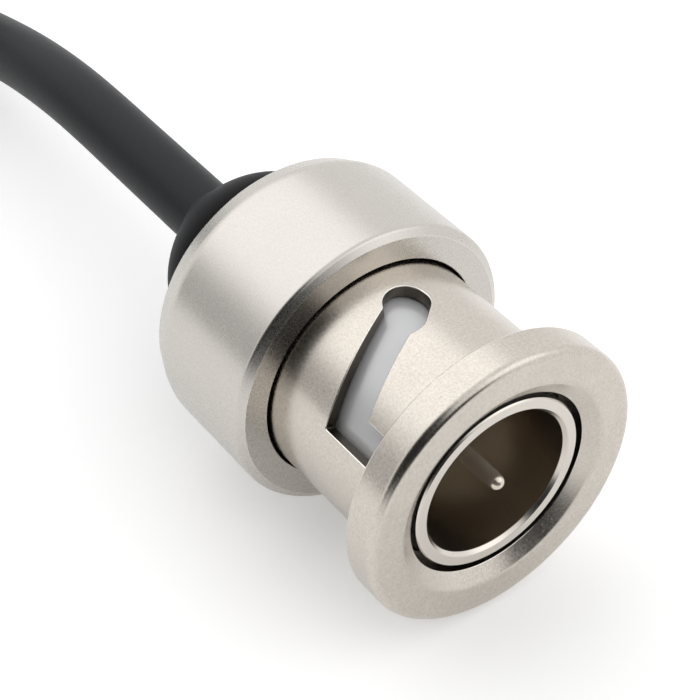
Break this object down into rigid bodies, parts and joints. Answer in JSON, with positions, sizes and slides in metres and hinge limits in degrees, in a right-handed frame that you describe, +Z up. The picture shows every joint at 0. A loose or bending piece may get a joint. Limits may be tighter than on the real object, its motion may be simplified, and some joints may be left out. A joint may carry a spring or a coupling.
{
  "type": "bayonet coaxial cable plug on a patch lead",
  "caption": "Coaxial cable plug with a slotted bayonet coupling nut, satin shell and rubber boot, on a black patch lead folded in a hank with the same plug at its far end.",
  "frame": {"origin": "middle of the near plug's box, on the surface that it lies on", "axes": "+X leaves the near plug's mating face along its axis, +Z is up, and the lead runs away along -X"},
  "size_m": [0.1819, 0.0252, 0.0162],
  "materials": {
    "nut_nickel": "satin",
    "shell_nickel": "satin",
    "contact_nickel": "satin",
    "body_nickel": "satin",
    "pin_plating": "polished",
    "spring_steel": "satin",
    "gasket_rubber": "matte",
    "insulator_white": "satin",
    "boot_rubber": "satin",
    "cable_jacket": "satin",
    "braid_copper": "satin",
    "cable_core": "satin",
    "conductor_copper": "satin",
    "tie_strap": "matte"
  },
  "bodies": {
    "plug_and_lead": {"rear_wave_washer": "spring_steel", "front_wave_washer": "spring_steel", "front_washer": "spring_steel", "plug_body": "body_nickel", "outer_contact": "contact_nickel", "front_gasket": "gasket_rubber", "front_insulator": "insulator_white", "center_pin": "pin_plating", "rear_insulator": "insulator_white", "crimp_ferrule": "body_nickel", "outer_shell": "shell_nickel", "lock_nut": "body_nickel", "cable_boot": "boot_rubber", "braid_end": "braid_copper", "dielectric_end": "cable_core", "conductor_end": "conductor_copper", "jacket_end": "cable_jacket", "far_rear_wave_washer": "spring_steel", "far_front_wave_washer": "spring_steel", "far_front_washer": "spring_steel", "far_plug_body": "body_nickel", "far_outer_contact": "contact_nickel", "far_front_gasket": "gasket_rubber", "far_front_insulator": "insulator_white", "far_center_pin": "pin_plating", "far_rear_insulator": "insulator_white", "far_crimp_ferrule": "body_nickel", "far_outer_shell": "shell_nickel", "far_lock_nut": "body_nickel", "far_cable_boot": "boot_rubber", "far_braid_end": "braid_copper", "far_dielectric_end": "cable_core", "far_conductor_end": "conductor_copper", "far_jacket_end": "cable_jacket", "cable_lead": "cable_jacket", "cable_hank": "cable_jacket", "hank_tie": "tie_strap", "cable_tail": "cable_jacket"},
    "thrust_carrier": {"rear_washer": "spring_steel"},
    "turning_nut": {"coupling_nut": "nut_nickel", "retaining_ring": "spring_steel"},
    "far_thrust_carrier": {"far_rear_washer": "spring_steel"},
    "far_turning_nut": {"far_coupling_nut": "nut_nickel", "far_retaining_ring": "spring_steel"}
  },
  "joints": [
    {"name": "coupling_slide", "type": "slide", "parent": "plug_and_lead", "child": "thrust_carrier", "axis": [1, 0, 0], "range_m": [0, 0.0006], "stiffness_N_per_m": 8000, "springref_m": -0.0005, "deforming": ["front_wave_washer", "rear_wave_washer"]},
    {"name": "coupling_turn", "type": "hinge", "parent": "thrust_carrier", "child": "turning_nut", "pos_m": [0, 0, 0.0077], "axis": [1, 0, 0], "continuous": true},
    {"name": "far_coupling_slide", "type": "slide", "parent": "plug_and_lead", "child": "far_thrust_carrier", "axis": [-1, 0, 0], "range_m": [0, 0.0006], "stiffness_N_per_m": 8000, "springref_m": -0.0005, "deforming": ["far_front_wave_washer", "far_rear_wave_washer"]},
    {"name": "far_coupling_turn", "type": "hinge", "parent": "far_thrust_carrier", "child": "far_turning_nut", "pos_m": [-0.17, 0, 0.0077], "axis": [-1, 0, 0], "continuous": true}
  ]
}
